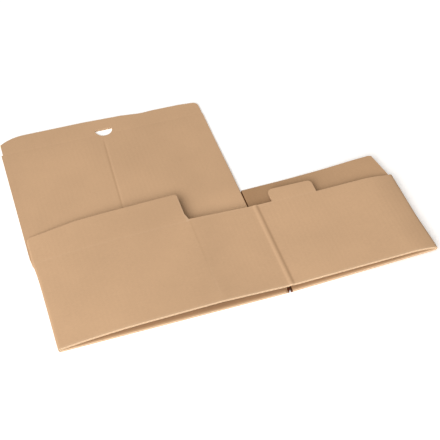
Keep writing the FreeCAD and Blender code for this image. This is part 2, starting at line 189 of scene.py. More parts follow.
class Section:
    """The middle line of the board round the flat tube, seen from the bottom edge.

    It starts at the front crease, runs left along the front layer, round the
    left fold, right along the rear layer, round the right fold and back.
    """

    STEP = 0.25

    def __init__(self, size, board):
        half = board["board"] / 2
        radius = size["fold_inside"] + half
        rest = size["side_lift"] + board["board"]
        dip = rest + size["dip_rise"] + half
        crown = dip + size["crown_rise"]
        left = size["lid_overhang"]
        self.left_centre = left + board["board"] + size["fold_inside"]
        self.rear_crease = left + size["panel_length"]
        self.front_crease = left + size["panel_width"]
        right = self.rear_crease + size["panel_width"]
        self.right_centre = right - board["board"] - size["fold_inside"]
        self.pack_fold = self.rear_crease + size["pack_fold_shift"]
        haunch = (left + size["haunch_run"], crown - size["haunch_drop"])
        shoulder = (right - size["shoulder_run"], rest + size["shoulder_rise"] + half)
        foot = size["bead_width"] / 2
        bead_right = (self.pack_fold + foot, dip)
        bead_left = (self.pack_fold - foot, dip)
        crest = (self.front_crease, crown)

        points = [crest, haunch]
        slope = size["haunch_drop"] / (crest[0] - haunch[0])
        fold_top = radius + half + size["fold_inside"] + half
        points += self.bow(haunch, (self.left_centre, fold_top), slope)
        points += self.turn(self.left_centre, half + radius, radius, 90, 270)
        points += [(self.rear_crease, half)]
        points += self.turn(self.right_centre, size["side_lift"] + half + radius, radius, 270, 450)
        slope = (shoulder[1] - dip) / (shoulder[0] - bead_right[0])
        top = (self.right_centre, size["side_lift"] + half + 2 * radius)
        points += reversed(self.bow(shoulder, top, slope)[:-1])
        points += [shoulder, bead_right, (self.pack_fold, dip + size["bead_rise"]), bead_left, crest]
        self.trace(points)

    @staticmethod
    def bow(start, end, slope):
        """Points from start to end on a curve that leaves start with this slope."""
        run = end[0] - start[0]
        bend = (end[1] - start[1] - slope * run) / run ** 2
        count = 24
        shares = [(number + 1) / count for number in range(count)]
        return [(start[0] + run * share, start[1] + slope * run * share + bend * (run * share) ** 2)
                for share in shares]

    @staticmethod
    def turn(across, up, radius, start, end):
        """Points on an arc round this centre, between two angles in degrees."""
        angles = [math.radians(start + (end - start) * number / 24) for number in range(25)]
        return [(across + radius * math.cos(angle), up + radius * math.sin(angle)) for angle in angles]

    def trace(self, points):
        """Walks along the points in even steps, and rounds their corners a little."""
        walked = [points[0]]
        left_over = 0.0
        for here, ahead in zip(points, points[1:]):
            run = math.dist(here, ahead)
            if run < 1e-9:
                continue
            place = self.STEP - left_over
            while place <= run:
                share = place / run
                walked.append((here[0] + (ahead[0] - here[0]) * share,
                               here[1] + (ahead[1] - here[1]) * share))
                place += self.STEP
            left_over = run - (place - self.STEP)
        if math.dist(walked[-1], walked[0]) < self.STEP / 2:
            walked.pop()
        count = len(walked)
        reach = 4
        span = range(-reach, reach + 1)
        self.points = [
            (sum(walked[(number + k) % count][0] for k in span) / (2 * reach + 1),
             sum(walked[(number + k) % count][1] for k in span) / (2 * reach + 1))
            for number in range(count)]
        self.places = [0.0]
        for number in range(count):
            ahead = self.points[(number + 1) % count]
            self.places.append(self.places[-1] + math.dist(self.points[number], ahead))
        self.length = self.places[-1]
        across = [point[0] for point in self.points]
        self.leftmost = across.index(min(across))
        self.rightmost = across.index(max(across))

    def spot(self, place):
        """Position and outward normal at a place along the line."""
        place = place % self.length
        number = min(bisect.bisect_right(self.places, place) - 1, len(self.points) - 1)
        count = len(self.points)
        here, ahead = self.points[number], self.points[(number + 1) % count]
        before = self.points[number - 1]
        after = self.points[(number + 2) % count]
        run = self.places[number + 1] - self.places[number]
        share = (place - self.places[number]) / run
        start = (ahead[0] - before[0], ahead[1] - before[1])
        end = (after[0] - here[0], after[1] - here[1])
        along = [start[axis] * (1 - share) + end[axis] * share for axis in (0, 1)]
        size = math.hypot(*along)
        across = here[0] + (ahead[0] - here[0]) * share
        up = here[1] + (ahead[1] - here[1]) * share
        return across, up, along[1] / size, -along[0] / size

    def find(self, across, first, last):
        """The place between two point numbers where the line passes this X."""
        rising = self.points[last - 1][0] > self.points[first][0]
        low, high = first, last - 1
        while high - low > 1:
            middle = (low + high) // 2
            if (self.points[middle][0] < across) == rising:
                low = middle
            else:
                high = middle
        here, ahead = self.points[low][0], self.points[high][0]
        share = (across - here) / (ahead - here)
        return self.places[low] + share * (self.places[high] - self.places[low])

    def front_left(self, across):
        """The place of this X on the front layer, left of the front crease."""
        return 0.0 if across >= self.front_crease else self.find(across, 0, self.leftmost + 1)

    def rear(self, across):
        """The place of this X on the rear layer."""
        return self.find(across, self.leftmost, self.rightmost + 1)

    def front_right(self, across):
        """The place of this X on the front layer, right of the front crease."""
        return self.find(across, self.rightmost, len(self.points))

    def is_rear(self, place):
        """Whether the place lies on the rear layer."""
        return self.places[self.leftmost] < place < self.places[self.rightmost]


class Profile:
    """A height along the blank: points in order, two at one place where it jumps."""

    def __init__(self, points):
        self.points = points
        self.places = [place for place, _ in points]

    def at(self, place, side):
        """The height just before (side -1) or just behind (side 1) a place."""
        if side > 0:
            number = bisect.bisect_right(self.places, place + 1e-6)
        else:
            number = bisect.bisect_left(self.places, place - 1e-6)
        number = min(max(number, 1), len(self.points) - 1)
        (start, low), (end, high) = self.points[number - 1], self.points[number]
        if end - start < 1e-9:
            return high if side > 0 else low
        return low + (high - low) * min(1.0, max(0.0, (place - start) / (end - start)))

    def jumps(self):
        """Heights at both ends of every jump."""
        found = []
        for (start, low), (end, high) in zip(self.points, self.points[1:]):
            if end - start < 1e-9:
                found += [low, high]
        return found


def rounded(across, along, radius, right, count=8):
    """A rounded corner at the top of a flap, from left to right."""
    points = []
    for number in range(count + 1):
        angle = math.pi / 2 * number / count
        if right:
            points.append((across - radius + radius * math.sin(angle),
                           along - radius + radius * math.cos(angle)))
        else:
            points.append((across + radius - radius * math.cos(angle),
                           along - radius + radius * math.sin(angle)))
    return points


class Blank:
    """The outline of the carton's board, unrolled along its section.

    Left of the left fold's centre the lid stays flat and stands alone, as an ear.
    """

    EAR_CORNER = 15.0
    BOTTOM_ROWS = (0.0, 1.2, 2.4, 4.0)

    def __init__(self, size, section):
        self.size = size
        self.section = section
        self.wall = size["wall_height"]
        self.dust = self.wall + size["dust_height"]
        self.tuck_crease = self.wall + size["panel_width"]
        self.free_edge = self.tuck_crease + size["tuck_depth"]
        self.lid_start = section.left_centre
        self.lid_shift = section.rear(self.lid_start) - self.lid_start
        self.slot_right = section.rear(section.rear_crease + size["slot_width"] / 2)
        lid = self.lid_outline()
        lid_on_tube = self.cut(lid, self.lid_start)
        self.upper = self.upper_profile(lid_on_tube)
        self.lower = self.lower_profile()
        self.cut_thumb_hole()
        self.ear_lower = Profile([(0.0, self.wall + self.EAR_CORNER), (size["lid_overhang"], self.wall),
                                  (self.lid_start, self.wall)])
        self.ear_upper = Profile([point for point in lid if point[0] < self.lid_start]
                                 + [lid_on_tube[0]])

    def upper_profile(self, lid):
        """The board's top all round the tube; lid is its part right of the left fold's centre."""
        section, creep = self.section, self.size["front_creep"]
        upper = [(0.0, self.wall + creep)]
        upper += [(section.front_left(x), y) for x, y in self.front_flap()]
        upper += [(section.rear(self.lid_start), self.wall)]
        upper += [(x + self.lid_shift, y) for x, y in lid]
        upper += [(section.rear(x), y) for x, y in self.rear_flap()]
        upper += [(section.front_right(x), y) for x, y in reversed(self.front_tab())]
        upper += [(section.length, self.wall + creep)]
        return Profile(upper)

    def front_flap(self):
        """Corners of the front dust flap, from the front crease to the left fold."""
        size, crease, creep = self.size, self.section.front_crease, self.size["front_creep"]
        step = crease - size["dust_step_top"]
        end = self.section.left_centre - size["dust_reach"]
        top = rounded(end, self.dust, size["dust_corner"], False)
        top += [(end + 22, self.dust + 0.3 * creep), (end + 65, self.dust + 1.6 * creep)]
        top += rounded(step, self.dust + 2.2 * creep, size["dust_corner"], True)
        side = [(crease - size["dust_step_foot"], self.wall + creep),
                (step, self.wall + size["dust_relief"])]
        return side + list(reversed(top)) + [(end, self.wall)]

    def lid_outline(self):
        """Corners of the lid and its tuck flap, from the left side to the right one."""
        size, tuck = self.size, self.tuck_crease
        lid_right = self.section.rear_crease - size["slit"] / 2
        tuck_right = lid_right - size["tuck_inset"]
        free_edge = self.free_edge - size["tuck_trim"]
        run, drop = size["tuck_bevel_run"], size["tuck_bevel_drop"]
        radius = (run ** 2 + drop ** 2) / (2 * drop)
        bevel = [(size["tuck_inset"] + run * number / 16,
                  free_edge - radius + math.sqrt(radius ** 2 - (run * (1 - number / 16)) ** 2))
                 for number in range(17)]
        low_edge = free_edge - size["tuck_step"]
        step_end = size["tuck_step_place"]
        step_start = step_end - size["tuck_step_run"]
        worn_edge = [(step_start - 74, free_edge), (step_start - 40, free_edge - 1.2),
                     (step_start - 12, free_edge - 2.2), (step_start + 3, low_edge),
                     (step_end - 4, low_edge - 1.4), (step_end + 4, low_edge - 1.7),
                     (step_end + 20, low_edge - 0.8), (tuck_right - 30, low_edge - 1.2)]
        corner = rounded(tuck_right, low_edge - 3, size["tuck_corner"], True)
        right = [(tuck_right, tuck), (lid_right - size["lid_lean"], tuck), (lid_right, self.wall)]
        return [(0.0, tuck), (size["tuck_inset"], tuck)] + bevel + worn_edge + corner + right

    def rear_flap(self):
        """Corners of the rear dust flap, from the slit to the right fold."""
        size, crease = self.size, self.section.rear_crease
        left = crease + size["slit"] / 2
        foot = crease + size["panel_width"] - size["slant_foot"]
        top = crease + size["panel_width"] - size["dust_slant"]
        return [(left, self.wall), (left, self.dust),
                (top - 3, self.dust + 0.8), (top + 1.5, self.dust - 1.0), (foot, self.wall)]

    def front_tab(self):
        """Corners of the tab in the middle of the front panel, and of the edge right of it."""
        size, section, wall, creep = self.size, self.section, self.wall, self.size["front_creep"]
        middle = section.front_crease + size["panel_length"] / 2
        left = middle - size["tab_width"] / 2
        right = middle + size["tab_width"] / 2
        top = wall + size["tab_height"]
        tab = [(left, wall + 0.6 * creep)]
        tab += rounded(left, top + creep, size["tab_corner"], False)
        tab += rounded(right, top + creep / 2, size["tab_corner"], True)
        return tab + [(right, wall), (right + 70, wall), (section.right_centre - 6, wall - creep / 2)]

    def lower_profile(self):
        """The bottom edge with its slot, whose left side leans over to its right one."""
        size, right = self.size, self.slot_right
        left = right - size["slot_mouth"]
        depth, lean = size["slot_depth"], size["slot_lean"]
        return Profile([
            (0.0, 0.0), (left - lean, 0.0), (left, 1.8 * lean), (left, depth - 1.5),
            (left + 1.5, depth), (right - 1.5, depth), (right, depth - 1.5),
            (right, 2.6 * lean), (right - lean / 2, 0.0), (self.section.length, 0.0)])

    def cut_thumb_hole(self):
        """Works out the heights of the thumb hole's lower and upper side."""
        size, shift = self.size, self.lid_shift
        middle = size["lid_overhang"] / 2 + size["panel_length"] / 2
        half = size["hole_width"] / 2
        radius = (half ** 2 + size["hole_depth"] ** 2) / (2 * size["hole_depth"])
        centre = self.tuck_crease - size["hole_drop"] + radius
        self.hole_top = self.tuck_crease - size["hole_drop"] + size["hole_depth"]
        below, above = [], []
        for number in range(33):
            angle = math.pi * number / 32
            place = middle - radius * math.cos(angle) + shift
            below.append((place, centre - radius * math.sin(angle)))
            above.append((place, min(self.hole_top, centre + radius * math.sin(angle))))
        self.hole_low = Profile(below)
        self.hole_high = Profile(above)
        self.hole_start = middle - radius + shift
        self.hole_end = middle + radius + shift
        self.hole_line = centre

    @staticmethod
    def cut(points, across):
        """The part of a line of points that lies right of this X."""
        for number, (x, y) in enumerate(points):
            if x > across:
                start, low = points[number - 1]
                height = low + (y - low) * (across - start) / (x - start)
                return [(across, height)] + points[number:]
        raise ValueError("the line ends too early")

    def scores(self):
        """Places of the scores along Y, of the lid's pack fold and of the tube's."""
        section, size = self.section, self.size
        upright = [section.rear(section.rear_crease), 0.0]
        fold = size["lid_overhang"] + size["lid_fold_place"] + self.lid_shift
        return upright, fold, section.front_right(section.pack_fold)

    def grid(self, wide, high, edge):
        """Grid lines along and across the blank, finer at the score lines."""
        section = self.section
        upright, fold, pack_fold = self.scores()
        stops = {0.0, section.length, section.rear(self.lid_start)}
        stops.update(fold + 1.4 * number for number in range(-3, 9))
        stops.update(pack_fold + 1.25 * number for number in range(-6, 7))
        stops.update(self.slot_right + shift for shift in (-5.4, -4.6, 0.6, 1.4))
        for profile in (self.upper, self.lower, self.hole_low, self.hole_high):
            stops.update(profile.places)
        for middle in upright:
            stops.update((middle + shift) % section.length for shift in edge)
        stops.update(place for place in section.places[::8] if self.bends(place))
        ear = {shift for shift, _ in self.ear_upper.points + self.ear_lower.points}
        rows = {*self.BOTTOM_ROWS, self.hole_line, self.wall + self.EAR_CORNER}
        for profile in (self.upper, self.lower, self.ear_upper):
            rows.update(profile.jumps())
        for middle in (self.wall, self.tuck_crease):
            rows.update(middle + shift for shift in edge)
        rows.update([self.hole_top, self.free_edge])
        return (self.fill(stops, wide), self.fill(ear, 2.0), self.fill(rows, high))

    def bends(self, place):
        """Whether the section turns sharply here, as at its folds."""
        across = self.section.spot(place)[0]
        return across < self.section.left_centre + 6 or across > self.section.right_centre - 6

    @staticmethod
    def fill(stops, gap):
        """The stops in order, with even steps between them no longer than the gap."""
        ordered = sorted(stops)
        kept = [ordered[0]]
        for stop in ordered[1:]:
            if stop - kept[-1] > 1e-4:
                kept.append(stop)
        lines = []
        for here, ahead in zip(kept, kept[1:]):
            count = max(1, math.ceil((ahead - here) / gap - 1e-6))
            lines += [here + (ahead - here) * number / count for number in range(count)]
        return lines + [kept[-1]]


def clip(polygon, height, above):
    """The part of a convex polygon above or below a height."""
    kept = []
    for here, ahead in zip(polygon, polygon[1:] + polygon[:1]):
        inside = here[1] >= height if above else here[1] <= height
        crosses = (here[1] - height) * (ahead[1] - height) < 0
        if inside:
            kept.append(here)
        if crosses:
            share = (height - here[1]) / (ahead[1] - here[1])
            kept.append((here[0] + (ahead[0] - here[0]) * share, height))
    return kept


def cells(columns, rows, low, high, start, end):
    """Polygons that fill the blank between two profiles, column by column."""
    for here, ahead in zip(columns, columns[1:]):
        if here < start - 1e-4 or ahead > end + 1e-4:
            continue
        feet = (low.at(here, 1), low.at(ahead, -1))
        heads = (high.at(here, 1), high.at(ahead, -1))
        if max(heads[0] - feet[0], heads[1] - feet[1]) < 1e-4:
            continue
        column = [(here, feet[0]), (ahead, feet[1]), (ahead, heads[1]), (here, heads[0])]
        first = max(0, bisect.bisect_right(rows, min(feet) + 1e-6) - 1)
        for floor, ceiling in zip(rows[first:], rows[first + 1:]):
            if floor >= max(heads) - 1e-6:
                break
            if floor >= max(feet) - 1e-6 and ceiling <= min(heads) + 1e-6:
                yield [(here, floor), (ahead, floor), (ahead, ceiling), (here, ceiling)]
                continue
            piece = clip(clip(column, floor, True), ceiling, False)
            corners = []
            for corner in piece:
                if not corners or math.dist(corner, corners[-1]) > 1e-4:
                    corners.append(corner)
            if len(corners) > 2 and math.dist(corners[0], corners[-1]) < 1e-4:
                corners.pop()
            if len(corners) > 2:
                yield corners


class Sheet:
    """One closed sheet of paper of the board, as a mesh."""

    def __init__(self, blank, section, board, wide, high, edge):
        self.blank = blank
        self.section = section
        self.board = board
        self.numbers = {}
        self.spots = []
        self.faces = []
        columns, ear, rows = blank.grid(wide, high, edge)
        low, top = blank.lower, blank.upper
        tube = list(cells(columns, rows, low, top, 0.0, blank.hole_start))
        tube += cells(columns, rows, low, blank.hole_low, blank.hole_start, blank.hole_end)
        tube += cells(columns, rows, blank.hole_high, top, blank.hole_start, blank.hole_end)
        tube += cells(columns, rows, low, top, blank.hole_end, section.length)
        for polygon in tube:
            self.faces.append([self.number(place, along, False) for place, along in polygon])
        flat = cells(ear, rows, blank.ear_lower, blank.ear_upper, 0.0, blank.lid_start)
        for polygon in flat:
            self.faces.append([self.number(across + blank.lid_shift, along, True)
                               for across, along in polygon])
        # Corners that fall together count once.
        faces = [[corner for number, corner in enumerate(face) if corner != face[number - 1]]
                 for face in self.faces]
        self.faces = [face for face in faces if len(face) > 2]

    def number(self, place, along, flat):
        """The number of the point at this spot of the blank."""
        if flat and place > self.blank.lid_start + self.blank.lid_shift - 1e-4:
            flat = False
        if place > self.section.length - 1e-4:
            place = 0.0
        key = (round(place, 3), round(along, 3), flat)
        if key not in self.numbers:
            self.numbers[key] = len(self.spots)
            self.spots.append((place, along, flat))
        return self.numbers[key]

    def build(self, name, faces_of, materials):
        """Makes the object. faces_of gives the two heights of the sheet in the board."""
        count = len(self.spots)
        lower, upper, wear = [], [], []
        for place, along, flat in self.spots:
            low, high, worn_and_shaded = faces_of(place, along)
            lower.append(self.position(place, along, flat, low))
            upper.append(self.position(place, along, flat, high))
            wear.append(worn_and_shaded)
        walls = {}
        for face in self.faces:
            for here, ahead in zip(face, face[1:] + face[:1]):
                if (ahead, here) in walls:
                    del walls[(ahead, here)]
                else:
                    walls[(here, ahead)] = True
        polygons = [list(face) for face in self.faces]
        polygons += [[number + count for number in reversed(face)] for face in self.faces]
        polygons += [[ahead, here, here + count, ahead + count] for here, ahead in walls]
        mesh = bpy.data.meshes.new(name)
        mesh.from_pydata(lower + upper, [], polygons)
        attribute = mesh.attributes.new("wear", "FLOAT", "POINT")
        attribute.data.foreach_set("value", wear + wear)
        for material in materials:
            mesh.materials.append(material)
        plain = 2 * len(self.faces)
        mesh.polygons.foreach_set(
            "material_index", [0] * plain + [len(materials) - 1] * len(walls))
        mesh.polygons.foreach_set("use_smooth", [True] * len(polygons))
        mesh.set_sharp_from_angle(angle=math.radians(35))
        mesh.update()
        if mesh.validate():
            raise ValueError(name + " has faces that don't hold")
        piece = bpy.data.objects.new(name, mesh)
        bpy.context.scene.collection.objects.link(piece)
        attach(piece, BODY)
        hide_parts(CARTON_NODE)
        return piece

    def position(self, place, along, flat, height):
        """Where a spot of the blank lies, at a height from the board's inner face."""
        lift = height - self.board["board"] / 2
        if flat:
            across, up = place - self.blank.lid_shift, self.board["board"] / 2 - lift
        else:
            across, up, out_across, out_up = self.section.spot(place)
            across += out_across * lift
            up += out_up * lift
        front = not flat and not self.section.is_rear(place)
        across, along, up = settle(self.blank, across, along, up, front)
        middle = (self.section.rear_crease + self.blank.size["panel_width"]) / 2
        return ((across - middle) * MM, (along - self.blank.free_edge / 2) * MM, up * MM)


# How far the board has moved where it lies, in millimetres.
HINGE_SPREAD = 2.4
FOLD_LEAN = 1.4
FOLD_LEAN_MORE = 2.5
FRONT_WAVE = 0.45
REAR_WAVE = 0.5
FRONT_FLAP_SAG = 0.6
LID_EDGE_RISE = 1.6
REAR_FLAP_SAG = 2.0


def settle(blank, across, along, up, front):
    """Moves a point as the real board has crept, bowed and settled."""
    size = blank.size
    wall = size["wall_height"]

    # The lid's hinge presses the left fold flat, so that it spreads there.
    near = 1 - smooth((across - 10) / 40)
    spread = HINGE_SPREAD * min(1.0, along / wall) ** 8
    if not front and along > wall:
        spread *= max(0.0, 1 - (along - wall) / 15)
    across -= near * spread

    # The right fold leans in towards the flaps.
    across -= (FOLD_LEAN + FOLD_LEAN_MORE * smooth(along / 70)) * smooth((across - 455) / 70)

    # Slow waves in the board, up from the floor or down from the crown.
    wave = noise.noise(Vector((across / 95, along / 120, 3.0 if front else 7.0)))
    if front:
        between_folds = smooth((across - 15) / 60) * smooth((520 - across) / 60)
        up -= FRONT_WAVE * (0.5 + 0.5 * wave) * between_folds
        if along > wall:
            up -= FRONT_FLAP_SAG * smooth((along - wall) / 40) * smooth((across - 30) / 80)
    else:
        up += REAR_WAVE * (0.5 + 0.5 * wave) * smooth((along - wall) / 60)
        edge = blank.section.rear_crease - across
        if edge > 0:
            foot = smooth((along - wall + 4) / 14)
            head = 1 - smooth((along - wall - 70) / 90)
            up += LID_EDGE_RISE * (1 - smooth(edge / 50)) * foot * head
        else:
            # The rear dust flap sags towards the floor, least by the right fold.
            lift = size["side_lift"] * (across - blank.section.rear_crease) / size["panel_width"]
            lift = min(0.6 * lift, REAR_FLAP_SAG) * (1 - smooth((across - 430) / 70))
            up -= lift * smooth((along - wall) / size["dust_height"])
    return across, along, up


class CartonBuilder:
    """Works out the board's faces from the sizes that the scene holds.

    It also gives each point its wear and shading: above 0 it bares light fibres, with a
    faint painted highlight beside the pack folds, and below 0 it is painted shade on the paper.
    """

    SCORE_WEAR = 0.15
    BOTTOM_WEAR = 0.8
    # Strengths of painted shade: in narrow gaps, in the corners by the step and the tab, on the rear dust
    # flap and between the layers.
    GAP_SHADE = 5.0
    STEP_SHADE = 3.2
    TAB_SHADE = 3.0
    FLAP_SHADE = 0.95
    BETWEEN_SHADE = 1.7

    def __init__(self, scene):
        self.size = in_millimetres(scene.carton_sizes)
        self.board = in_millimetres(scene.carton_board)
        self.section = Section(self.size, self.board)
        self.blank = Blank(self.size, self.section)
        self.upright, self.fold, self.pack_fold = self.blank.scores()
        # The knife that parts the lid from its neighbour hardly opens the lower liner.
        self.nicked = Blank(dict(self.size, slit=0.3, slot_mouth=0.6), self.section)

    def pressed(self, place, along):
        """How far the inner and the outer face are pressed in, and the wear there, which gives way to
        painted shade in the narrow gaps of the slit and the slot.
        """
        reach, depth = self.board["score_reach"], self.board["score_depth"]
        wall, tuck = self.size["wall_height"], self.blank.tuck_crease
        length = self.section.length
        cross = max(hump(along - wall, reach), 0.15 * hump(along - tuck, reach))
        upright = 0.0
        for middle in self.upright:
            away = min(abs(place - middle), length - abs(place - middle))
            upright = max(upright, hump(away, reach))
        fold = hump(place - self.fold_at(along), reach) if along > wall else 0.0
        fold *= 1 - smooth((along - tuck + 20) / 14)
        inner = depth * max(cross, upright, 0.5 * fold)
        outer = depth * max(0.1 * cross, 0.2 * upright, 0.4 * fold)
        worn_and_shaded = max(self.SCORE_WEAR * max(cross, upright), self.BOTTOM_WEAR * (1 - smooth(along / 4)))
        hidden = self.hidden(place, along)
        # Painted shade darkens the paper in the narrow gaps of the slit and the slot.
        return inner, outer, (1 - hidden) * worn_and_shaded - self.GAP_SHADE * hidden

    def hidden(self, place, along):
        """How much of the light a cut's narrow gap keeps out, at the slit and the slot."""
        if along > self.size["wall_height"] - 0.5:
            return 1.0 if abs(place - self.upright[0]) < 1.2 else 0.0
        from_slot = place - self.blank.slot_right
        return 1.0 if -5.0 < from_slot < 1.0 and along < self.size["slot_depth"] + 1 else 0.0

    def shaded(self, across, along):
        """Painted shadow in the two corners that the front layer makes with the rear one."""
        crease = self.section.front_crease
        tab_right = crease + (self.size["panel_length"] + self.size["tab_width"]) / 2
        dark = 0.0
        for corner, wide, high, painted_shade in ((crease - 1, 42, 24, self.STEP_SHADE),
                                         (tab_right, 18, 9, self.TAB_SHADE)):
            if across > corner - 14:
                up = (along - self.size["wall_height"] - 2) / high
                dark += painted_shade * (1 - smooth((across - corner) / wide)) * (1 - smooth(up))
        return dark

    def liner(self, along):
        """Thickness of a liner, which the knife swells along the bottom edge."""
        return self.board["liner"] + self.board["swelling"] * (1 - smooth(along / 2.4))

    def fold_at(self, along):
        """Where the lid's pack fold runs: it slants a little to the right."""
        return self.fold + 0.055 * (along - self.size["wall_height"] - 50)

    def fold_light_and_shade(self, place, along):
        """Painted highlight on one side of the two pack folds and painted shade on the other, and painted
        shade along the front crease.
        """
        if self.size["wall_height"] < along:
            away = place - self.fold_at(along)
            fade = 1 - smooth((along - self.blank.tuck_crease + 30) / 24)
            return fade * (0.1 * hump(away - 1.8, 3.0) - 0.5 * hump(away + 1.6, 2.8))
        away = self.pack_fold - place
        from_crease = min(place, self.section.length - place)
        fade = smooth((along - 30) / 80)
        ridge = 0.1 * hump(away + 2.6, 3.4) - 0.7 * hump(away - 3.0, 4.4)
        return ridge - 0.5 * fade * hump(from_crease, 2.4)

    def inner_liner(self, place, along):
        """The two faces of the liner inside the tube, and its wear with painted highlight and shade."""
        inner, _, worn_and_shaded = self.pressed(place, along)
        if along > self.size["wall_height"]:
            worn_and_shaded += self.fold_light_and_shade(place, along)
            # Painted shadow beside the dust flap's step and beside the tab.
            worn_and_shaded -= self.shaded(place - self.blank.lid_shift, along)
            # Painted shade darkens the rear dust flap, most towards the slit.
            across = place - self.section.rear(self.section.rear_crease)
            if 0 < across < self.size["panel_width"]:
                worn_and_shaded -= self.FLAP_SHADE + 1.0 * (1 - smooth(across / 120))
        elif self.section.is_rear(place):
            # Painted shade, as little light reaches the rear layer under the front one.
            worn_and_shaded -= self.BETWEEN_SHADE * smooth(along / 4) * (1 - smooth((along - 20) / 30))
        return inner, inner + self.liner(along), worn_and_shaded

    def outer_liner(self, place, along):
        """The two faces of the liner outside the tube, and its wear with painted highlight and shade."""
        _, outer, worn_and_shaded = self.pressed(place, along)
        top = self.board["board"] - outer
        if along < self.size["wall_height"]:
            worn_and_shaded += self.fold_light_and_shade(place, along)
        elif place < 12:
            # A light band runs along the cut at the front dust flap's right side.
            worn_and_shaded += 0.9 * hump(place - 2.5, 4.0)
        return top - self.liner(along), top, worn_and_shaded

    def wave(self, place, along):
        """The fluting swings between the liners once in every pitch."""
        inner, outer, worn_and_shaded = self.pressed(place, along)
        low = inner + self.liner(along)
        high = self.board["board"] - outer - self.liner(along)
        thick = self.board["fluting"]
        swing = (high - low - thick) / 2 - 0.01
        count = round(self.section.length / self.board["pitch"])
        turn = 2 * math.pi * place * count / self.section.length
        middle = (low + high) / 2 + swing * math.sin(turn)
        return middle - thick / 2, middle + thick / 2, worn_and_shaded


def new_group(name, inputs, outputs):
    """A node group with its sockets, and its input and output nodes."""
    group = bpy.data.node_groups.new(name, "ShaderNodeTree")
    for label, kind, value in inputs:
        socket = group.interface.new_socket(label, in_out="INPUT", socket_type=kind)
        socket.default_value = value
    for label, kind in outputs:
        group.interface.new_socket(label, in_out="OUTPUT", socket_type=kind)
    return group, group.nodes.new("NodeGroupInput"), group.nodes.new("NodeGroupOutput")


def node(tree, kind, **values):
    """A new node; a value's name is a property's, or an input's with spaces as _."""
    made = tree.nodes.new(kind)
    for label, value in values.items():
        if hasattr(made, label):
            setattr(made, label, value)
        else:
            made.inputs[label.replace("_", " ")].default_value = value
    return made


def noise_at(tree, scale, stretch=(1, 1, 1), detail=3.0, roughness=0.5):
    """Noise in object space; scale is in cells per metre."""
    place = node(tree, "ShaderNodeTexCoord")
    mapping = node(tree, "ShaderNodeMapping")
    mapping.inputs["Scale"].default_value = stretch
    texture = node(tree, "ShaderNodeTexNoise", Scale=scale, Detail=detail, Roughness=roughness)
    tree.links.new(place.outputs["Object"], mapping.inputs["Vector"])
    tree.links.new(mapping.outputs["Vector"], texture.inputs["Vector"])
    return texture.outputs["Fac"]


def ranged(tree, value, low, high, to_low, to_high):
    """A value taken from one range to another, held at its ends."""
    made = node(tree, "ShaderNodeMapRange")
    for label, number in (("From Min", low), ("From Max", high), ("To Min", to_low), ("To Max", to_high)):
        made.inputs[label].default_value = number
    tree.links.new(value, made.inputs["Value"])
    return made.outputs["Result"]


def math_of(tree, operation, first, second):
    """A maths node's result; each value is a number or a socket."""
    made = node(tree, "ShaderNodeMath", operation=operation)
    for socket, value in zip(made.inputs, (first, second)):
        if isinstance(value, (int, float)):
            socket.default_value = value
        else:
            tree.links.new(value, socket)
    return made.outputs[0]


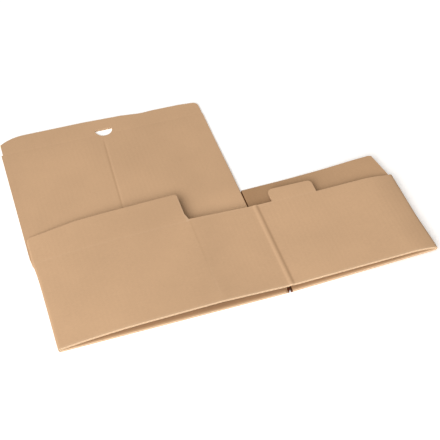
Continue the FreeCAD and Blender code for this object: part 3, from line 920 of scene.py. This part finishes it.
def paper_group():
    """Fibres, clouds and specks of kraft paper, with light rubs and painted shade from the wear input, as a
    colour and a height.
    """
    group, start, end = new_group(
        "Kraft paper",
        [("Colour", "NodeSocketColor", (0.6, 0.4, 0.25, 1.0)), ("Wear", "NodeSocketFloat", 0.0)],
        [("Colour", "NodeSocketColor"), ("Height", "NodeSocketFloat")])
    links = group.links
    fibres = noise_at(group, 260.0, (1.0, 4.5, 1.0), 5.0, 0.62)
    fine = noise_at(group, 900.0, (1.0, 3.0, 1.0), 3.0, 0.6)
    clouds = noise_at(group, 14.0, (1.0, 1.0, 1.0), 4.0, 0.55)
    patches = noise_at(group, 4.5, (1.0, 1.4, 1.0), 2.0, 0.5)
    specks = noise_at(group, 620.0, (1.0, 2.0, 1.0), 2.0, 0.5)
    shade = math_of(group, "ADD", ranged(group, fibres, 0.3, 0.7, -0.045, 0.045),
                    ranged(group, clouds, 0.3, 0.7, -0.035, 0.035))
    shade = math_of(group, "ADD", shade, ranged(group, patches, 0.35, 0.65, -0.03, 0.03))
    shade = math_of(group, "ADD", shade, ranged(group, fine, 0.3, 0.7, -0.03, 0.03))
    shade = math_of(group, "ADD", shade, ranged(group, specks, 0.68, 0.78, 0.0, -0.16))
    # Below 0 the input is painted shade.
    painted_shade = math_of(group, "MULTIPLY", math_of(group, "MINIMUM", start.outputs["Wear"], 0.0), 0.16)
    shade = math_of(group, "ADD", shade, 1.0)
    # Painted shade takes away more green than red, and more blue than green.
    brown = node(group, "ShaderNodeVectorMath", operation="SCALE")
    brown.inputs[0].default_value = (1.0, 1.16, 1.36)
    links.new(painted_shade, brown.inputs["Scale"])
    shaded_tone = node(group, "ShaderNodeVectorMath", operation="ADD")
    links.new(brown.outputs["Vector"], shaded_tone.inputs[0])
    links.new(shade, shaded_tone.inputs[1])
    held = node(group, "ShaderNodeVectorMath", operation="MAXIMUM")
    held.inputs[1].default_value = (0.1, 0.07, 0.04)
    links.new(shaded_tone.outputs["Vector"], held.inputs[0])
    tinted = node(group, "ShaderNodeVectorMath", operation="MULTIPLY")
    links.new(start.outputs["Colour"], tinted.inputs[0])
    links.new(held.outputs["Vector"], tinted.inputs[1])
    # Above 0 the input lightens the fibres, as wear and as a faint painted highlight at the pack folds.
    rub_and_highlight = math_of(group, "MULTIPLY", start.outputs["Wear"], ranged(group, fibres, 0.35, 0.6, 0.1, 0.34))
    worn_and_shaded = node(group, "ShaderNodeMix", data_type="RGBA")
    mix_factor = next(socket for socket in worn_and_shaded.inputs if socket.name == "Factor" and socket.type == "VALUE")
    mix_a = next(socket for socket in worn_and_shaded.inputs if socket.name == "A" and socket.type == "RGBA")
    mix_b = next(socket for socket in worn_and_shaded.inputs if socket.name == "B" and socket.type == "RGBA")
    mix_b.default_value = (0.74, 0.56, 0.40, 1.0)
    links.new(rub_and_highlight, mix_factor)
    links.new(tinted.outputs["Vector"], mix_a)
    result = next(socket for socket in worn_and_shaded.outputs if socket.type == "RGBA")
    links.new(result, end.inputs["Colour"])
    height = math_of(group, "ADD", math_of(group, "MULTIPLY", fibres, 0.6),
                     math_of(group, "MULTIPLY", fine, 0.4))
    links.new(height, end.inputs["Height"])
    return group


def washboard_group():
    """The flutes, which show faintly through a liner as lines along Y."""
    group, start, end = new_group(
        "Washboard", [("Pitch", "NodeSocketFloat", 0.0065)], [("Height", "NodeSocketFloat")])
    place = node(group, "ShaderNodeTexCoord")
    split = node(group, "ShaderNodeSeparateXYZ")
    group.links.new(place.outputs["Object"], split.inputs[0])
    turns = math_of(group, "DIVIDE", split.outputs["X"], start.outputs["Pitch"])
    angle = math_of(group, "MULTIPLY", turns, 2 * math.pi)
    wave = math_of(group, "SINE", angle, 0.0)
    fade = ranged(group, noise_at(group, 11.0, (1.0, 0.5, 1.0), 2.0), 0.35, 0.65, 0.2, 1.0)
    group.links.new(math_of(group, "MULTIPLY", wave, fade), end.inputs["Height"])
    return group


def paper_material(name, colour, roughness, groups, washboard=0.0, relief=0.00006):
    """A paper; washboard and relief are the heights of its flutes and fibres, in metres."""
    material = bpy.data.materials.new(name)
    material.use_nodes = True
    tree = material.node_tree
    shader = tree.nodes["Principled BSDF"]
    shader.inputs["Specular IOR Level"].default_value = 0.22
    paper = node(tree, "ShaderNodeGroup")
    paper.node_tree = groups["paper"]
    paper.inputs["Colour"].default_value = (*colour, 1.0)
    wear = node(tree, "ShaderNodeAttribute")
    wear.attribute_name = "wear"
    tree.links.new(wear.outputs["Fac"], paper.inputs["Wear"])
    tree.links.new(paper.outputs["Colour"], shader.inputs["Base Color"])
    rough = ranged(tree, paper.outputs["Height"], 0.3, 0.7, roughness - 0.08, roughness + 0.06)
    tree.links.new(rough, shader.inputs["Roughness"])
    bump = node(tree, "ShaderNodeBump")
    bump.inputs["Strength"].default_value = 0.7
    bump.inputs["Distance"].default_value = relief
    tree.links.new(paper.outputs["Height"], bump.inputs["Height"])
    last = bump
    if washboard:
        flutes = node(tree, "ShaderNodeGroup")
        flutes.node_tree = groups["washboard"]
        ripple = node(tree, "ShaderNodeBump")
        ripple.inputs["Strength"].default_value = 1.0
        ripple.inputs["Distance"].default_value = washboard
        tree.links.new(flutes.outputs["Height"], ripple.inputs["Height"])
        tree.links.new(bump.outputs["Normal"], ripple.inputs["Normal"])
        last = ripple
    tree.links.new(last.outputs["Normal"], shader.inputs["Normal"])
    return material


def board_materials(colours):
    """The papers of the board, made once and shared by its sheets."""
    if "kraft_liner" in bpy.data.materials:
        return {name: bpy.data.materials[name] for name in ("kraft_liner", "cut_edge", "fluting_paper")}
    groups = {"paper": paper_group(), "washboard": washboard_group()}
    return {
        "kraft_liner": paper_material("kraft_liner", colours.face, 0.86, groups, 0.00002),
        "cut_edge": paper_material("cut_edge", colours.cut, 0.95, groups, 0.0, 0.0002),
        "fluting_paper": paper_material("fluting_paper", colours.wave, 0.92, groups, 0.0, 0.0001),
    }


class CARTON_OT_liners(bpy.types.Operator):
    """Build the two liners of the board, cut to the blank and folded flat"""

    bl_idname = "carton.liners"
    bl_label = "Liners"

    def execute(self, context):
        builder = CartonBuilder(context.scene)
        papers = board_materials(context.scene.carton_colours)
        for name, blank, faces_of in (("inner_liner", builder.blank, builder.inner_liner),
                                      ("outer_liner", builder.nicked, builder.outer_liner)):
            sheet = Sheet(blank, builder.section, builder.board, 5.0, 8.0,
                          (-2.6, -1.7, -0.9, 0.0, 0.9, 1.7, 2.6))
            sheet.build(name, faces_of, [papers["kraft_liner"], papers["cut_edge"]])
        return {"FINISHED"}


class CARTON_OT_fluting(bpy.types.Operator):
    """Build the waved paper between the liners"""

    bl_idname = "carton.fluting"
    bl_label = "Fluting"

    def execute(self, context):
        builder = CartonBuilder(context.scene)
        papers = board_materials(context.scene.carton_colours)
        sheet = Sheet(builder.blank, builder.section, builder.board, 0.82, 24.0,
                      (-2.6, -0.9, 0.9, 2.6))
        sheet.build("fluting", builder.wave, [papers["fluting_paper"], papers["cut_edge"]])
        return {"FINISHED"}


class CARTON_OT_stage(bpy.types.Operator):
    """Set up the white floor, the soft lights and the camera"""

    bl_idname = "carton.stage"
    bl_label = "Stage"

    def execute(self, context):
        scene = context.scene
        stage = scene.carton_stage
        scene.view_settings.view_transform = "Standard"
        self.floor(scene, stage)
        self.lights(scene, stage)
        self.camera(scene, stage)
        return {"FINISHED"}

    def floor(self, scene, stage):
        """A plain floor, just under the carton."""
        mesh = bpy.data.meshes.new("floor")
        reach = 6.0
        mesh.from_pydata([(-reach, -reach, 0), (reach, -reach, 0), (reach, reach, 0), (-reach, reach, 0)],
                         [], [(0, 1, 2, 3)])
        material = bpy.data.materials.new("white_floor")
        material.use_nodes = True
        shader = material.node_tree.nodes["Principled BSDF"]
        shader.inputs["Base Color"].default_value = (*stage.floor, 1.0)
        shader.inputs["Roughness"].default_value = 0.9
        shader.inputs["Specular IOR Level"].default_value = 0.1
        shader.inputs["Emission Color"].default_value = (1.0, 1.0, 1.0, 1.0)
        shader.inputs["Emission Strength"].default_value = stage.floor_glow
        mesh.materials.append(material)
        floor = bpy.data.objects.new("floor", mesh)
        scene.collection.objects.link(floor)
        floor.location.z = -0.0002

    def lights(self, scene, stage):
        """A soft room that the camera sees as white, and two lamps."""
        world = bpy.data.worlds.new("studio")
        world.use_nodes = True
        tree = world.node_tree
        tree.nodes.clear()
        path = node(tree, "ShaderNodeLightPath")
        soft = node(tree, "ShaderNodeBackground", Color=(1.0, 0.91, 0.80, 1.0),
                    Strength=stage.room_light)
        white = node(tree, "ShaderNodeBackground", Color=(1.0, 1.0, 1.0, 1.0), Strength=1.0)
        mix = node(tree, "ShaderNodeMixShader")
        out = node(tree, "ShaderNodeOutputWorld")
        tree.links.new(path.outputs["Is Camera Ray"], mix.inputs[0])
        tree.links.new(soft.outputs[0], mix.inputs[1])
        tree.links.new(white.outputs[0], mix.inputs[2])
        tree.links.new(mix.outputs[0], out.inputs["Surface"])
        scene.world = world
        even = bpy.data.lights.new("even", "SUN")
        even.angle = math.radians(54)
        even.energy = stage.even_light
        self.hang(scene, even, (-1.9, -2.2, 2.75))
        near = bpy.data.lights.new("near", "AREA")
        near.shape = "DISK"
        near.size = 0.9
        near.energy = stage.near_light
        self.hang(scene, near, (-0.9, -1.3, 1.2))

    def hang(self, scene, lamp, place):
        """Puts a lamp in its place, turned to the carton."""
        holder = bpy.data.objects.new(lamp.name, lamp)
        holder.location = place
        holder.rotation_mode = "QUATERNION"
        holder.rotation_quaternion = (-holder.location).to_track_quat("-Z", "Y")
        scene.collection.objects.link(holder)

    def camera(self, scene, stage):
        """The camera at the photograph's angle."""
        azimuth, elevation, roll = stage.azimuth, stage.elevation, stage.roll
        back = Vector((math.sin(azimuth) * math.cos(elevation),
                       -math.cos(azimuth) * math.cos(elevation), math.sin(elevation)))
        right = Vector((math.cos(azimuth), math.sin(azimuth), 0.0))
        up = back.cross(right)
        tilted_right = right * math.cos(roll) + up * math.sin(roll)
        tilted_up = up * math.cos(roll) - right * math.sin(roll)
        lens = bpy.data.cameras.new("camera")
        lens.lens = stage.lens
        lens.sensor_width = 36.0
        lens.sensor_fit = "HORIZONTAL"
        holder = bpy.data.objects.new("camera", lens)
        turned = Matrix((tilted_right, tilted_up, back)).transposed().to_4x4()
        holder.matrix_world = Matrix.Translation(Vector(stage.target) + back * stage.distance) @ turned
        scene.collection.objects.link(holder)
        scene.camera = holder


class CARTON_PT_panel(bpy.types.Panel):
    """Lists the steps and the values that they use"""

    bl_label = "Flattened Carton"
    bl_idname = "CARTON_PT_panel"
    bl_space_type = "VIEW_3D"
    bl_region_type = "UI"
    bl_category = "Carton"

    def draw(self, context):
        layout = self.layout
        scene = context.scene
        for operator in STEPS:
            layout.operator(operator.bl_idname)
        for title, group in (("Carton", scene.carton_sizes), ("Board", scene.carton_board),
                             ("Colours", scene.carton_colours), ("Stage", scene.carton_stage)):
            box = layout.box()
            box.label(text=title)
            for name in group.__annotations__:
                box.prop(group, name)


STEPS = (CARTON_OT_liners, CARTON_OT_fluting, CARTON_OT_stage)
GROUPS = {
    "carton_sizes": CartonSizes,
    "carton_board": BoardSizes,
    "carton_colours": BoardColours,
    "carton_stage": StageSettings,
}
CLASSES = tuple(GROUPS.values()) + STEPS + (CARTON_PT_panel,)


def register():
    """Adds the classes, and the groups of values to the scene."""
    for item in CLASSES:
        bpy.utils.register_class(item)
    for name, group in GROUPS.items():
        setattr(bpy.types.Scene, name, bpy.props.PointerProperty(type=group))


def unregister():
    """Takes away what register adds."""
    for name in GROUPS:
        delattr(bpy.types.Scene, name)
    for item in reversed(CLASSES):
        bpy.utils.unregister_class(item)


def main():
    """Registers the add-on, and builds the carton and the stage."""
    register()
    bpy.ops.carton.liners()
    bpy.ops.carton.fluting()
    bpy.ops.carton.stage()


if __name__ == "__main__":
    main()
